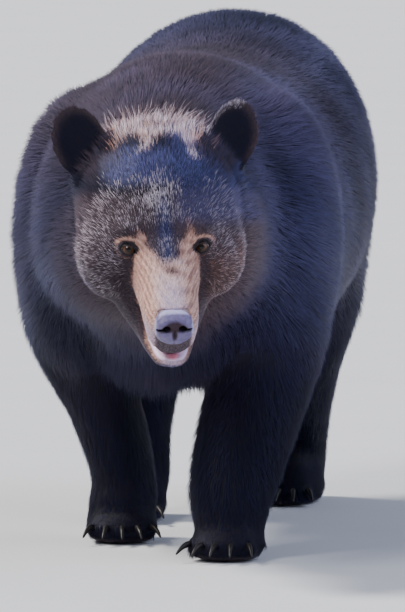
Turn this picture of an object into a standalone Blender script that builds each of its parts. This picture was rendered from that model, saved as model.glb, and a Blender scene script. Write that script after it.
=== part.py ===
"""An American black bear, life size, walking with its head low.

The bear faces -Y, with its left side at +X, and stands on the floor at Z = 0. The body is modelled whole,
as overlapping masses that are fused, smoothed and thinned, and then parted with thin cuts into the parts
that a person would name. Outlines run out to the tips of the coat. Lengths are in metres.
"""

import math

import bmesh
import bpy
import numpy as np
from mathutils import Matrix, Vector

# Driving dimensions. Along is +Y (towards the tail), counted from the withers.
WITHERS_HEIGHT = 0.760
RUMP_HEIGHT = 0.797
BELLY_HEIGHT = 0.243
SHOULDER_HALF_WIDTH = 0.228
RUMP_HALF_WIDTH = 0.238
CHEST_FRONT = -0.215
RUMP_BACK = 0.930

EYE_MIDDLE = Vector((0.053, -0.500, 0.497))
HEAD_YAW = math.radians(14)
HEAD_PITCH = math.radians(27)
HEAD_ROLL = math.radians(-2)

EYE_SPACING = 0.107
EYEBALL_RADIUS = 0.0125
EAR_HEIGHT = 0.128
EAR_WIDTH = 0.098
EAR_WALL = 0.0065
EAR_DEPTH = 0.026
NOSE_HALF_WIDTH = 0.0285
MOUTH_OPENING = math.radians(5.5)

CLAW_LENGTH = 0.036
CLAW_RADIUS = 0.0050
TOES = 5

GAP = 0.0003
FUSE_VOXEL = 0.004
BODY_TRIANGLES = 3450

SIDEWAYS, UPWARD = Vector((1, 0, 0)), Vector((0, 0, 1))
LEFT, RIGHT = 1, -1
SIDE_NAMES = {LEFT: "left", RIGHT: "right"}

# Colours are linear red, green, blue.
COAT = ("coat", (0.012, 0.011, 0.013), 0.75)
MUZZLE_COAT = ("muzzle_coat", (0.115, 0.068, 0.045), 0.70)
EAR_COAT = ("ear_coat", (0.020, 0.013, 0.010), 0.75)
NOSE_SKIN = ("nose_skin", (0.030, 0.028, 0.034), 0.38)
EYE_GLASS = ("eye", (0.030, 0.012, 0.005), 0.08)
TONGUE_FLESH = ("tongue", (0.420, 0.130, 0.140), 0.40)
CLAW_HORN = ("claw_horn", (0.016, 0.014, 0.012), 0.35)


# ---------------------------------------------------------------- scene and materials


def clear_scene():
    for obj in list(bpy.data.objects):
        bpy.data.objects.remove(obj)


def material(finish):
    name, colour, roughness = finish
    made = bpy.data.materials.get(name) or bpy.data.materials.new(name)
    made.use_nodes = True
    shader = made.node_tree.nodes["Principled BSDF"]
    shader.inputs["Base Color"].default_value = (*colour, 1.0)
    shader.inputs["Roughness"].default_value = roughness
    return made


def add_object(name, mesh):
    obj = bpy.data.objects.new(name, mesh)
    bpy.context.scene.collection.objects.link(obj)
    return obj


def finish_node(obj, finish):
    obj.data.materials.clear()
    obj.data.materials.append(material(finish))
    obj.data.shade_smooth()
    obj.data.set_sharp_from_angle(angle=math.radians(45))


def remove(*objects):
    for obj in objects:
        bpy.data.objects.remove(obj)


# ---------------------------------------------------------------- shapes


def section(centre, across, upward, half_width, rise, drop, fullness=2.2, count=28):
    """The points of an egg-shaped cross-section: rise above its centre, drop below it."""
    points = []
    for k in range(count):
        angle = 2 * math.pi * k / count
        c, s = math.cos(angle), math.sin(angle)
        x = half_width * math.copysign(abs(c) ** (2 / fullness), c)
        z = (rise if s > 0 else drop) * math.copysign(abs(s) ** (2 / fullness), s)
        points.append(centre + across * x + upward * z)
    return points


def loft(name, rings, transform=Matrix.Identity(4)):
    """A closed skin over rings of equally many points, with flat ends."""
    bm = bmesh.new()
    loops = [[bm.verts.new(transform @ p) for p in ring] for ring in rings]
    for a, b in zip(loops, loops[1:]):
        for k in range(len(a)):
            n = (k + 1) % len(a)
            bm.faces.new((a[k], a[n], b[n], b[k]))
    bm.faces.new(loops[0])
    bm.faces.new(loops[-1])
    bmesh.ops.recalc_face_normals(bm, faces=bm.faces)
    mesh = bpy.data.meshes.new(name)
    bm.to_mesh(mesh)
    bm.free()
    return add_object(name, mesh)


def eased(stations, steps):
    """Rows of numbers between the given ones, on a smooth curve through them."""
    rows = np.array(stations, float)
    padded = np.vstack([2 * rows[0] - rows[1], rows, 2 * rows[-1] - rows[-2]])
    out = []
    for k in range(1, len(padded) - 2):
        a, b, c, d = padded[k - 1 : k + 3]
        for t in np.arange(steps) / steps:
            out.append(
                0.5 * (2 * b + (c - a) * t + (2 * a - 5 * b + 4 * c - d) * t**2 + (3 * b - a - 3 * c + d) * t**3)
            )
    out.append(rows[-1])
    return np.array(out)


def barrel(name, stations, transform=Matrix.Identity(4), fullness=2.2, steps=5, count=28):
    """A mass along Y. Each station is (y, x, top, widest level, bottom, half-width)."""
    rings = []
    for y, x, top, level, bottom, half_width in eased(stations, steps):
        centre = Vector((x, y, level))
        rings.append(section(centre, SIDEWAYS, UPWARD, half_width, top - level, level - bottom, fullness, count))
    return loft(name, rings, transform)


def limb(name, stations, forward=Vector((0, -1, 0)), fullness=2.1, steps=5, count=24):
    """A mass along a bone. Each station is (x, y, z, half-width, half-depth)."""
    rows = eased(stations, steps)
    rings = []
    for k, row in enumerate(rows):
        before, after = rows[max(k - 1, 0)], rows[min(k + 1, len(rows) - 1)]
        along = Vector(after[:3] - before[:3]).normalized()
        across = along.cross(forward).normalized()
        depth = across.cross(along).normalized()
        rings.append(section(Vector(row[:3]), across, depth, row[3], row[4], row[4], fullness, count))
    return loft(name, rings)


def egg(name, centre, radii, turn=Matrix.Identity(4), transform=Matrix.Identity(4), rings=20):
    """An ellipsoid, turned about its own centre."""
    bm = bmesh.new()
    bmesh.ops.create_uvsphere(bm, u_segments=rings + 8, v_segments=rings, radius=1)
    place = transform @ Matrix.Translation(centre) @ turn @ Matrix.Diagonal((*radii, 1))
    bmesh.ops.transform(bm, matrix=place, verts=bm.verts)
    mesh = bpy.data.meshes.new(name)
    bm.to_mesh(mesh)
    bm.free()
    return add_object(name, mesh)


def block(name, centre, size, turn=Matrix.Identity(4), grow=0.0):
    """A box used as a cutter."""
    bm = bmesh.new()
    bmesh.ops.create_cube(bm, size=1)
    sides = Matrix.Diagonal((size[0] + 2 * grow, size[1] + 2 * grow, size[2] + 2 * grow, 1))
    bmesh.ops.transform(bm, matrix=Matrix.Translation(centre) @ turn @ sides, verts=bm.verts)
    mesh = bpy.data.meshes.new(name)
    bm.to_mesh(mesh)
    bm.free()
    cutter = add_object(name, mesh)
    cutter.hide_render = True
    cutter.display_type = "WIRE"
    return cutter


def turned(axis, degrees):
    return Matrix.Rotation(math.radians(degrees), 4, axis)


# ---------------------------------------------------------------- modifiers


def settle(obj):
    """Replaces the object's mesh by what its modifiers make of it."""
    graph = bpy.context.evaluated_depsgraph_get()
    graph.update()
    mesh = bpy.data.meshes.new_from_object(obj.evaluated_get(graph))
    obj.modifiers.clear()
    obj.data = mesh
    return obj


def boolean(obj, other, operation):
    cut = obj.modifiers.new(operation.lower(), "BOOLEAN")
    cut.operation = operation
    cut.object = other
    cut.solver = "EXACT"
    return settle(obj)


def copy_of(obj, name):
    return add_object(name, obj.data.copy())


def joined(name, objects):
    """One object that holds the meshes of all, which may overlap."""
    bm = bmesh.new()
    for obj in objects:
        bm.from_mesh(obj.data)
    mesh = bpy.data.meshes.new(name)
    bm.to_mesh(mesh)
    bm.free()
    remove(*objects)
    return add_object(name, mesh)


def fused(name, masses, voxel):
    """One closed skin round overlapping masses."""
    whole = joined(name, masses)
    remesh = whole.modifiers.new("fuse", "REMESH")
    remesh.mode = "VOXEL"
    remesh.voxel_size = voxel
    return settle(whole)


def smoothed(obj, weight_at, passes):
    """Evens out the skin, as far as weight_at(points) says at each point."""
    points = np.empty(len(obj.data.vertices) * 3)
    obj.data.vertices.foreach_get("co", points)
    weights = weight_at(points.reshape(-1, 3))
    group = obj.vertex_groups.new(name="soft")
    levels = np.round(weights * 20).astype(int)
    for level in range(1, 21):
        group.add(np.flatnonzero(levels == level).tolist(), level / 20, "REPLACE")
    smooth = obj.modifiers.new("blend", "SMOOTH")
    smooth.factor = 0.5
    smooth.iterations = passes
    smooth.vertex_group = "soft"
    settle(obj)
    obj.vertex_groups.clear()
    return obj


def thinned(obj, triangles):
    decimate = obj.modifiers.new("thin", "DECIMATE")
    obj.data.calc_loop_triangles()
    decimate.ratio = triangles / len(obj.data.loop_triangles)
    return settle(obj)


# ---------------------------------------------------------------- head

HEAD = (
    Matrix.Translation(EYE_MIDDLE)
    @ Matrix.Rotation(HEAD_YAW, 4, "Z")
    @ Matrix.Rotation(HEAD_PITCH, 4, "X")
    @ Matrix.Rotation(HEAD_ROLL, 4, "Y")
)
LIP_LEVEL = -0.088  # the mouth, below the eyes
JAW_HINGE = Vector((0, 0.060, -0.070))
JAW = (
    HEAD @ Matrix.Translation(JAW_HINGE) @ Matrix.Rotation(MOUTH_OPENING, 4, "X") @ Matrix.Translation(-JAW_HINGE)
)


def head_masses():
    """Skull, cheeks, brows and muzzle about the point between the eyes, with the nose towards -Y."""
    skull = barrel(
        "skull",
        [
            # y, x, top, widest level, bottom, half-width
            (-0.026, 0, 0.014, -0.020, -0.070, 0.034),
            (-0.006, 0, 0.030, -0.022, -0.086, 0.058),
            (0.016, 0, 0.051, -0.024, -0.104, 0.084),
            (0.045, 0, 0.078, -0.024, -0.120, 0.106),
            (0.085, 0, 0.101, -0.018, -0.130, 0.121),
            (0.130, 0, 0.113, -0.008, -0.132, 0.126),
            (0.175, 0, 0.113, -0.004, -0.128, 0.128),
            (0.215, 0, 0.104, -0.004, -0.120, 0.122),
        ],
        transform=HEAD,
        fullness=2.15,
    )
    muzzle = barrel(
        "muzzle",
        [
            (-0.145, 0, -0.042, -0.068, LIP_LEVEL - 0.006, 0.019),
            (-0.138, 0, -0.033, -0.068, LIP_LEVEL - 0.013, 0.031),
            (-0.118, 0, -0.023, -0.066, LIP_LEVEL - 0.016, 0.0395),
            (-0.085, 0, -0.011, -0.060, LIP_LEVEL - 0.012, 0.0425),
            (-0.050, 0, 0.002, -0.052, LIP_LEVEL - 0.006, 0.0455),
            (-0.015, 0, 0.022, -0.040, LIP_LEVEL - 0.002, 0.053),
            (0.035, 0, 0.040, -0.030, LIP_LEVEL, 0.060),
        ],
        transform=HEAD,
        fullness=2.5,
    )
    masses = [skull, muzzle]
    for side in (LEFT, RIGHT):
        name = SIDE_NAMES[side]
        cheek = Vector((0.076 * side, 0.074, -0.052))
        brow = Vector((0.044 * side, 0.024, 0.018))
        cheekbone = Vector((0.062 * side, 0.036, -0.034))
        masses.append(egg(f"cheek_{name}", cheek, (0.056, 0.088, 0.072), turned("X", -12), HEAD))
        masses.append(egg(f"brow_{name}", brow, (0.034, 0.034, 0.021), turned("Y", -16 * side), HEAD))
        masses.append(egg(f"cheekbone_{name}", cheekbone, (0.036, 0.036, 0.028), turned("Z", 20 * side), HEAD))
    return masses


def jaw_mass():
    return barrel(
        "jaw",
        [
            (-0.136, 0, LIP_LEVEL - 0.011, -0.104, -0.111, 0.016),
            (-0.130, 0, LIP_LEVEL - 0.009, -0.106, -0.119, 0.027),
            (-0.112, 0, LIP_LEVEL - 0.008, -0.107, -0.128, 0.034),
            (-0.080, 0, LIP_LEVEL - 0.006, -0.108, -0.138, 0.038),
            (-0.045, 0, LIP_LEVEL + 0.004, -0.110, -0.147, 0.045),
            (0.000, 0, LIP_LEVEL + 0.030, -0.106, -0.154, 0.061),
            (0.060, 0, LIP_LEVEL + 0.040, -0.095, -0.156, 0.086),
        ],
        transform=JAW,
        fullness=2.5,
    )


def nose_mass():
    """The bare pad at the muzzle's end."""
    middle = -0.0500
    rows = [
        # y, rise, drop, half-width as a share of the whole
        (-0.118, 0.012, 0.018, 0.62),
        (-0.128, 0.018, 0.024, 0.86),
        (-0.140, 0.0205, 0.028, 0.99),
        (-0.150, 0.0190, 0.029, 1.00),
        (-0.157, 0.0150, 0.025, 0.85),
        (-0.161, 0.0085, 0.017, 0.55),
    ]
    stations = [
        (y, 0, middle + rise, middle, middle - drop, NOSE_HALF_WIDTH * share) for y, rise, drop, share in rows
    ]
    return barrel("nose", stations, transform=HEAD, fullness=2.8, steps=1, count=20)


def nostril_cutters():
    """The two comma-shaped nostrils: a round hole each, and a slit from it to the side."""
    cutters = []
    for side in (LEFT, RIGHT):
        hole = egg("hole", Vector((0.0115 * side, -0.160, -0.0475)), (0.0062, 0.0125, 0.0058), transform=HEAD, rings=4)
        slit = egg(
            "slit", Vector((0.0200 * side, -0.155, -0.0500)), (0.0085, 0.009, 0.0026), turned("Y", 16 * side), HEAD, 4
        )
        for cutter in (hole, slit):
            cutter.hide_render = True
            cutters.append(cutter)
    return cutters


def tongue_mass():
    stations = [
        (-0.119, 0, -0.0925, -0.096, -0.0995, 0.0100),
        (-0.112, 0, -0.0900, -0.095, -0.1010, 0.0175),
        (-0.085, 0, -0.0895, -0.096, -0.1030, 0.0200),
        (-0.050, 0, -0.0895, -0.096, -0.1030, 0.0200),
        (-0.035, 0, -0.0915, -0.095, -0.1010, 0.0140),
    ]
    return barrel("tongue", stations, transform=JAW, steps=1, count=14)


def eye_place(side):
    return Vector((EYE_SPACING / 2 * side, 0.0035, -0.0073))


def ear_frame(side):
    """The ear's own frame, rooted in the skull: up along the ear, with its hollow towards -Y."""
    root = Vector((0.086 * side, 0.136, 0.026))
    return HEAD @ Matrix.Translation(root) @ turned("Y", 24 * side) @ turned("X", -22) @ turned("Z", 16 * side)


def ear_mass(side):
    """A rounded cup with a thick rim: a flattened ball, pushed in from the front."""
    frame = ear_frame(side)
    bm = bmesh.new()
    bmesh.ops.create_uvsphere(bm, u_segments=14, v_segments=9, radius=1)
    for vert in bm.verts:
        x, y, z = vert.co
        share = 0.5 + 0.5 * z  # from the root to the tip
        wall = EAR_WALL * math.copysign(abs(y) ** 0.7, y) * (1.15 - 0.45 * share)
        hollow = EAR_DEPTH * (1 - x * x) * (1 - 0.8 * share**3)
        vert.co = frame @ Vector((0.5 * EAR_WIDTH * x, wall + hollow - 0.012 + 0.010 * share, EAR_HEIGHT * share))
    name = f"ear_{SIDE_NAMES[side]}"
    mesh = bpy.data.meshes.new(name)
    bm.to_mesh(mesh)
    bm.free()
    return add_object(name, mesh)


# ---------------------------------------------------------------- trunk, neck and tail


def trunk_mass():
    return barrel(
        "trunk",
        [
            (CHEST_FRONT, 0, 0.600, 0.480, 0.375, 0.085),
            (-0.160, 0, 0.694, 0.475, 0.303, 0.160),
            (-0.080, 0, 0.746, 0.470, 0.262, 0.208),
            (0.020, 0, WITHERS_HEIGHT, 0.465, 0.247, SHOULDER_HALF_WIDTH),
            (0.150, 0, 0.752, 0.475, BELLY_HEIGHT, 0.233),
            (0.300, 0, 0.757, 0.482, BELLY_HEIGHT, 0.240),
            (0.450, 0, 0.778, 0.495, BELLY_HEIGHT + 0.010, 0.246),
            (0.600, 0, RUMP_HEIGHT, 0.515, 0.283, RUMP_HALF_WIDTH),
            (0.720, 0, 0.786, 0.525, 0.330, 0.218),
            (0.815, 0, 0.738, 0.530, 0.375, 0.182),
            (0.890, 0, 0.668, 0.535, 0.430, 0.126),
            (RUMP_BACK, 0, 0.600, 0.540, 0.490, 0.055),
        ],
        fullness=2.1,
    )


def neck_mass():
    """The neck with its ruff, from behind the skull into the shoulders."""
    return barrel(
        "neck",
        [
            (-0.410, 0.024, 0.652, 0.545, 0.450, 0.100),
            (-0.345, 0.012, 0.684, 0.515, 0.380, 0.152),
            (-0.270, 0.000, 0.704, 0.500, 0.343, 0.180),
            (-0.190, -0.006, 0.724, 0.488, 0.322, 0.197),
            (-0.110, 0.000, 0.744, 0.480, 0.308, 0.210),
            (-0.020, 0.000, 0.752, 0.480, 0.308, 0.205),
        ],
        fullness=2.15,
    )


def tail_mass():
    """The short tail, hanging close against the rump."""
    return limb(
        "tail",
        [
            (0, 0.862, 0.645, 0.026, 0.024),
            (0, 0.893, 0.622, 0.030, 0.026),
            (0, 0.914, 0.585, 0.030, 0.024),
            (0, 0.922, 0.545, 0.026, 0.020),
            (0, 0.922, 0.512, 0.017, 0.014),
            (0, 0.920, 0.497, 0.006, 0.005),
        ],
        steps=1,
        count=14,
    )


# ---------------------------------------------------------------- legs

# Where each paw stands on the floor, at mid-stride: the left foreleg and the right hind leg are ahead.
FOREPAWS = {LEFT: Vector((0.101, -0.180, 0)), RIGHT: Vector((-0.096, 0.060, 0))}
HINDPAWS = {LEFT: Vector((0.082, 0.700, 0)), RIGHT: Vector((-0.126, 0.385, 0))}
GIRTH = {LEFT: 1.16, RIGHT: 0.89}  # the foreleg that carries the weight is spread a little
FOREPAW_TOE_IN = 9
HINDPAW_TOE_IN = 4
FOREPAW_LENGTH, FOREPAW_WIDTH = 0.132, 0.122
HINDPAW_LENGTH, HINDPAW_WIDTH = 0.192, 0.114


def foreleg_masses(side):
    name = SIDE_NAMES[side]
    paw = FOREPAWS[side]
    elbow_y = 0.012 + 0.22 * paw.y
    wrist = Vector((paw.x + 0.002 * side, paw.y + 0.030, 0.105))
    girth = GIRTH[side]
    shoulder = egg(f"shoulder_{name}", Vector((0.147 * side, 0.005, 0.475)), (0.109, 0.215, 0.232), turned("X", 14))
    arm = limb(
        f"arm_{name}",
        [
            # x, y, z, half-width, half-depth
            (0.148 * side, -0.050, 0.500, 0.078, 0.130),
            (0.164 * side, -0.030 + 0.1 * paw.y, 0.410, 0.084, 0.122),
            (0.156 * side, elbow_y, 0.320, 0.081, 0.100),
            (0.5 * (0.148 * side + wrist.x), 0.45 * elbow_y + 0.55 * wrist.y, 0.215, 0.072 * girth, 0.080),
            (wrist.x, wrist.y, wrist.z, 0.062 * girth, 0.066),
            (wrist.x, wrist.y - 0.012, 0.045, 0.055, 0.060),
        ],
    )
    return [shoulder, arm]


def hindleg_masses(side):
    name = SIDE_NAMES[side]
    paw = HINDPAWS[side]
    reach = paw.y - 0.600  # how far the paw stands behind its resting place
    heel = Vector((paw.x, paw.y + 0.060, 0.080))
    haunch = egg(
        f"haunch_{name}",
        Vector((0.117 * side, 0.650 + 0.10 * reach, 0.460)),
        (0.104, 0.190, 0.205),
        turned("X", -4 + 80 * reach),
    )
    leg = limb(
        f"leg_{name}",
        [
            (0.122 * side, 0.645 + 0.10 * reach, 0.420, 0.092, 0.150),
            (0.126 * side, 0.592 + 0.27 * reach, 0.330, 0.083, 0.132 + 0.06 * abs(reach)),
            (0.5 * (0.128 * side + paw.x), 0.602 + 0.56 * reach, 0.240, 0.071, 0.100),
            (0.2 * 0.128 * side + 0.8 * paw.x, 0.632 + 0.88 * reach, 0.155, 0.060, 0.073),
            (heel.x, heel.y, heel.z, 0.054, 0.060),
            (heel.x, heel.y + 0.002, 0.030, 0.048, 0.052),
        ],
    )
    return [haunch, leg]


def paw_frame(side, paw, toe_in):
    """The paw's own frame: toes towards -Y, on the floor."""
    return Matrix.Translation(paw) @ turned("Z", -toe_in * side)


PAWS = {}
for _side in (LEFT, RIGHT):
    _fore = paw_frame(_side, FOREPAWS[_side], FOREPAW_TOE_IN)
    _hind = paw_frame(_side, HINDPAWS[_side], HINDPAW_TOE_IN)
    PAWS[f"forepaw_{SIDE_NAMES[_side]}"] = (_fore, FOREPAW_LENGTH, FOREPAW_WIDTH, 0.047)
    PAWS[f"hindpaw_{SIDE_NAMES[_side]}"] = (_hind, HINDPAW_LENGTH, HINDPAW_WIDTH, 0.042)


def toe_places(length, width):
    """Each toe's (x, y, outward angle), along the arc of the paw's front edge."""
    for k in range(TOES):
        share = 2 * k / (TOES - 1) - 1
        yield share * (width / 2 - 0.016), -length / 2 + 0.020 + 0.020 * share**2, share * math.radians(26)


def paw_masses(name, frame, length, width, instep):
    """Pad, instep and toes. The pads reach a little under the floor, where they are cut flat."""
    pad = egg(f"pad_{name}", Vector((0, 0.008, 0.024)), (width / 2, length / 2 - 0.004, 0.034), transform=frame)
    arch = egg(
        f"instep_{name}",
        Vector((0, 0.10 * length, instep)),
        (width / 2 - 0.007, 0.37 * length, 0.040),
        turned("X", 12),
        frame,
    )
    masses = [pad, arch]
    for k, (x, y, angle) in enumerate(toe_places(length, width)):
        turn = Matrix.Rotation(angle, 4, "Z")
        masses.append(egg(f"toe_{name}_{k}", Vector((x, y, 0.021)), (0.0128, 0.027, 0.0225), turn, frame, 12))
    return masses


def claw(name, frame, x, y, angle):
    """A horn that leaves the toe's tip, arches and ends just over the floor."""
    rings = []
    count = 4
    root = Vector((x, y - 0.014, 0.027))
    heading = Matrix.Rotation(angle, 3, "Z")
    for k in range(count):
        share = k / (count - 1)
        bend = math.radians(-4 + 52 * share)
        reach = CLAW_LENGTH * share
        centre = root + heading @ Vector((0, -reach * math.cos(0.5 * bend), -reach * math.sin(0.5 * bend)))
        upward = heading @ Vector((0, -math.sin(bend), math.cos(bend)))
        radius = CLAW_RADIUS * (1 - 0.86 * share**1.4)
        rings.append(section(centre, heading @ Vector((1, 0, 0)), upward, 0.8 * radius, radius, 1.1 * radius, 2, 5))
    return loft(name, rings, frame)


# ---------------------------------------------------------------- whole body


def to_head(points):
    """Points of the row's frame, in the head's own."""
    inverse = HEAD.inverted()
    return points @ np.array(inverse.to_3x3()).T + np.array(inverse.translation)


def softness(points):
    """How far each point of the skin is evened out: fully on the body, less on the face and the paws."""
    behind_eyes = np.clip((to_head(points)[:, 1] + 0.030) / 0.210, 0, 1)
    above_paws = np.clip((points[:, 2] - 0.060) / 0.120, 0, 1)
    return 0.04 + 0.96 * np.minimum(behind_eyes, above_paws) ** 1.4


def whole_body():
    masses = [trunk_mass(), neck_mass(), jaw_mass(), *head_masses()]
    for side in (LEFT, RIGHT):
        masses += foreleg_masses(side) + hindleg_masses(side)
    for name, shape in PAWS.items():
        masses += paw_masses(name, *shape)
    body = smoothed(fused("body", masses, FUSE_VOXEL), softness, 200)
    return thinned(body, BODY_TRIANGLES)


def grown(obj, distance):
    """A copy whose skin stands off by the distance, used as a cutter."""
    copy = copy_of(obj, "grown")
    displace = copy.modifiers.new("grow", "DISPLACE")
    displace.strength = distance
    displace.mid_level = 0
    copy.hide_render = True
    return settle(copy)


def part_off(body, name, cell):
    """Takes the part of the body inside a cell off as a node of its own, leaving a thin cut."""
    cell.hide_render = True
    wider = grown(cell, math.sqrt(3) * GAP)
    piece = boolean(copy_of(body, name), cell, "INTERSECT")
    boolean(body, wider, "DIFFERENCE")
    remove(cell, wider)
    return piece


def leg_cell(side, top_y, foot_y):
    """The region of one leg: its upper side climbs outwards, from between the legs to the flank."""
    corners = []
    for x in (0.005, 0.330):
        height = 0.235 if x < 0.1 else 0.410
        for z, y, half_depth in ((0.05, foot_y, 0.110), (height, top_y, 0.165)):
            corners += [Vector((x * side, y - half_depth, z)), Vector((x * side, y + half_depth, z))]
    inner, outer = corners[:4], corners[4:]
    rings = [[ring[0], ring[1], ring[3], ring[2]] for ring in (inner, outer)]
    return loft("cell", rings)


def cut_by(obj, *cutters):
    for cutter in cutters:
        cutter.hide_render = True
        boolean(obj, cutter, "DIFFERENCE")
        remove(cutter)
    return obj


def parted(body):
    """Every node of flesh, by name."""
    cut_by(body, block("floor", Vector((0, 0.2, -0.05)), (1.0, 2.0, 0.1)))
    nodes = {}
    for name, (frame, length, width, instep) in PAWS.items():
        cell = block("cell", frame.translation + Vector((0, 0.02, 0.035)), (0.17, length + 0.10, 0.085))
        nodes[name] = part_off(body, name, cell)
    for side in (LEFT, RIGHT):
        fore, hind = FOREPAWS[side].y, HINDPAWS[side].y
        name = f"foreleg_{SIDE_NAMES[side]}"
        nodes[name] = part_off(body, name, leg_cell(side, 0.012 + 0.22 * fore, fore + 0.040))
        name = f"hindleg_{SIDE_NAMES[side]}"
        nodes[name] = part_off(body, name, leg_cell(side, 0.430 + 0.27 * hind, hind + 0.055))
    head_cell = block("cell", HEAD @ Vector((0, -0.020, 0)), (0.50, 0.40, 0.50), HEAD.to_3x3().to_4x4())
    nodes["head"] = part_off(body, "head", head_cell)
    neck_cell = block("cell", Vector((0, -0.335, 0.545)), (0.60, 0.50, 0.70), turned("X", 24))
    nodes["neck"] = part_off(body, "neck", neck_cell)
    nodes["trunk"] = body
    body.name = "trunk"
    jaw_middle = Vector((0, -0.100, LIP_LEVEL - 0.0540))
    jaw_cell = block("cell", JAW @ jaw_middle, (0.20, 0.200, 0.100), JAW.to_3x3().to_4x4())
    nodes["lower_jaw"] = part_off(nodes["head"], "lower_jaw", jaw_cell)
    return nodes


def stand_on_origin():
    """Moves everything so that the origin is on the floor under the middle of the whole."""
    points = [vert.co for obj in bpy.data.objects for vert in obj.data.vertices]
    low, high = (Vector(map(pick, *points)) for pick in (min, max))
    shift = Vector((-(low.x + high.x) / 2, -(low.y + high.y) / 2, 0))
    for obj in bpy.data.objects:
        obj.data.transform(Matrix.Translation(shift))


def main():
    clear_scene()
    nodes = parted(whole_body())
    head, jaw = nodes["head"], nodes["lower_jaw"]
    for side in (LEFT, RIGHT):
        name = f"eye_{SIDE_NAMES[side]}"
        cut_by(head, egg("socket", eye_place(side), (EYEBALL_RADIUS + GAP,) * 3, transform=HEAD, rings=7))
        eye = egg(name, eye_place(side), (EYEBALL_RADIUS,) * 3, transform=HEAD, rings=7)
        finish_node(eye, EYE_GLASS)
    nose, tongue = nose_mass(), tongue_mass()
    cut_by(head, grown(nose, 2 * GAP), grown(tongue, 2 * GAP))
    cut_by(jaw, grown(tongue, 2 * GAP))
    finish_node(cut_by(nose, *nostril_cutters()), NOSE_SKIN)
    finish_node(tongue, TONGUE_FLESH)
    for side in (LEFT, RIGHT):
        ear = ear_mass(side)
        cut_by(head, grown(ear, 5 * GAP))
        finish_node(ear, EAR_COAT)
    for name, (frame, length, width, instep) in PAWS.items():
        for k, toe in enumerate(toe_places(length, width)):
            horn = claw(f"claw_{name}_{k + 1}", frame, *toe)
            cut_by(nodes[name], grown(horn, 2 * GAP))
            finish_node(horn, CLAW_HORN)
    tail = tail_mass()
    cut_by(nodes["trunk"], grown(tail, 2 * GAP))
    finish_node(tail, COAT)
    for name, node in nodes.items():
        finish_node(node, COAT)
    finish_node(head, MUZZLE_COAT)
    stand_on_origin()


main()
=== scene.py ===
"""An American black bear, life size, walking with its head low: skin, eyes, nose, claws, coat."""

import math

import bpy
import numpy as np
from mathutils import Matrix, Vector


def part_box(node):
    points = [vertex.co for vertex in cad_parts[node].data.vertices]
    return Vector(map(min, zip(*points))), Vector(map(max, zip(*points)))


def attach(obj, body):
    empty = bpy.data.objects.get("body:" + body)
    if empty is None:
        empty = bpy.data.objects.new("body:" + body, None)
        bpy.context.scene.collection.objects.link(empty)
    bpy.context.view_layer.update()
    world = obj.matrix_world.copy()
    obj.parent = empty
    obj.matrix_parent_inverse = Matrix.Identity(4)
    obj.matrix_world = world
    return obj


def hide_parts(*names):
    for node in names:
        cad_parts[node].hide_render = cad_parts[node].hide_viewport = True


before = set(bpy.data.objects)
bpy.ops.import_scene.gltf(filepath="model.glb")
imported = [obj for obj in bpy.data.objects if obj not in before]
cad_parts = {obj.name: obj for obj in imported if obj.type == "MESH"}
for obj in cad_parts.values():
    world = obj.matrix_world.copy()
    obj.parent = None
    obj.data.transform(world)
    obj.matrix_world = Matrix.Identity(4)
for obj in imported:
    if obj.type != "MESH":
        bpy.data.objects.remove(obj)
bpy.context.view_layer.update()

LEFT, RIGHT = 1, -1
SIDE_NAMES = {LEFT: "left", RIGHT: "right"}


# ---------------- places


def turned(axis, degrees):
    return Matrix.Rotation(math.radians(degrees), 4, axis)


def middle_of(node):
    low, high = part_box(node)
    return (low + high) / 2


EYE_RADIUS = 0.0125
EYES = {side: middle_of(f"eye_{SIDE_NAMES[side]}") for side in (LEFT, RIGHT)}
BETWEEN_EYES = Vector((0, 0.0035, -0.0073))  # their middle, in the head's own frame
HEAD_TURN = turned("Z", 14) @ turned("X", 27) @ turned("Y", -2)
HEAD_START = (EYES[LEFT] + EYES[RIGHT]) / 2 - HEAD_TURN.to_3x3() @ BETWEEN_EYES
HEAD = Matrix.Translation(HEAD_START) @ HEAD_TURN

MOUTH_OPENING = 5.5  # degrees
JAW_HINGE = Vector((0, 0.060, -0.070))
TO_HINGE, FROM_HINGE = Matrix.Translation(JAW_HINGE), Matrix.Translation(-JAW_HINGE)
JAW = HEAD @ TO_HINGE @ turned("X", MOUTH_OPENING) @ FROM_HINGE

VIEW_ROUND, VIEW_ABOVE = 8, 4.5  # the degrees from which the bear is seen, and to which it looks


def local(points, place):
    """Points of the scene, in a frame of their own."""
    inverse = np.array(place.inverted())
    return points @ inverse[:3, :3].T + inverse[:3, 3]


def placed(points, place):
    """Points of an own frame, in the scene's."""
    return points @ np.array(place.to_3x3()).T + np.array(place.translation)


def outward(vectors, place):
    """Directions of an own frame, in the scene's."""
    return vectors @ np.array(place.to_3x3()).T


def ear_place(side):
    """The ear's own frame: up along the ear, with its hollow towards -Y."""
    root = HEAD @ Matrix.Translation(Vector((0.086 * side, 0.136, 0.026)))
    return root @ turned("Y", 24 * side) @ turned("X", -22) @ turned("Z", 16 * side)


EYE_SLANT = 13  # degrees by which the inner corner lies lower


def eye_place(side):
    """The frame of an eye's opening, which looks out of the eye towards -Y."""
    start = Matrix.Translation(EYES[side]) @ turned("Z", 10 + 6 * side) @ turned("X", 2)
    return start @ turned("Y", -EYE_SLANT * side - 2)


EARS = {side: ear_place(side) for side in (LEFT, RIGHT)}
EYE_PLACES = {side: eye_place(side) for side in (LEFT, RIGHT)}
OPENING_HALF_LENGTH, UPPER_ARCH, LOWER_ARCH = 0.0122, 0.0072, 0.0059
LID_RADIUS = EYE_RADIUS + 0.0014


def eye_gap(points):
    """How far points lie from the middle of the nearer eye."""
    gaps = [np.linalg.norm(points - np.array(eye), axis=1) for eye in EYES.values()]
    return np.min(gaps, axis=0)


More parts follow.
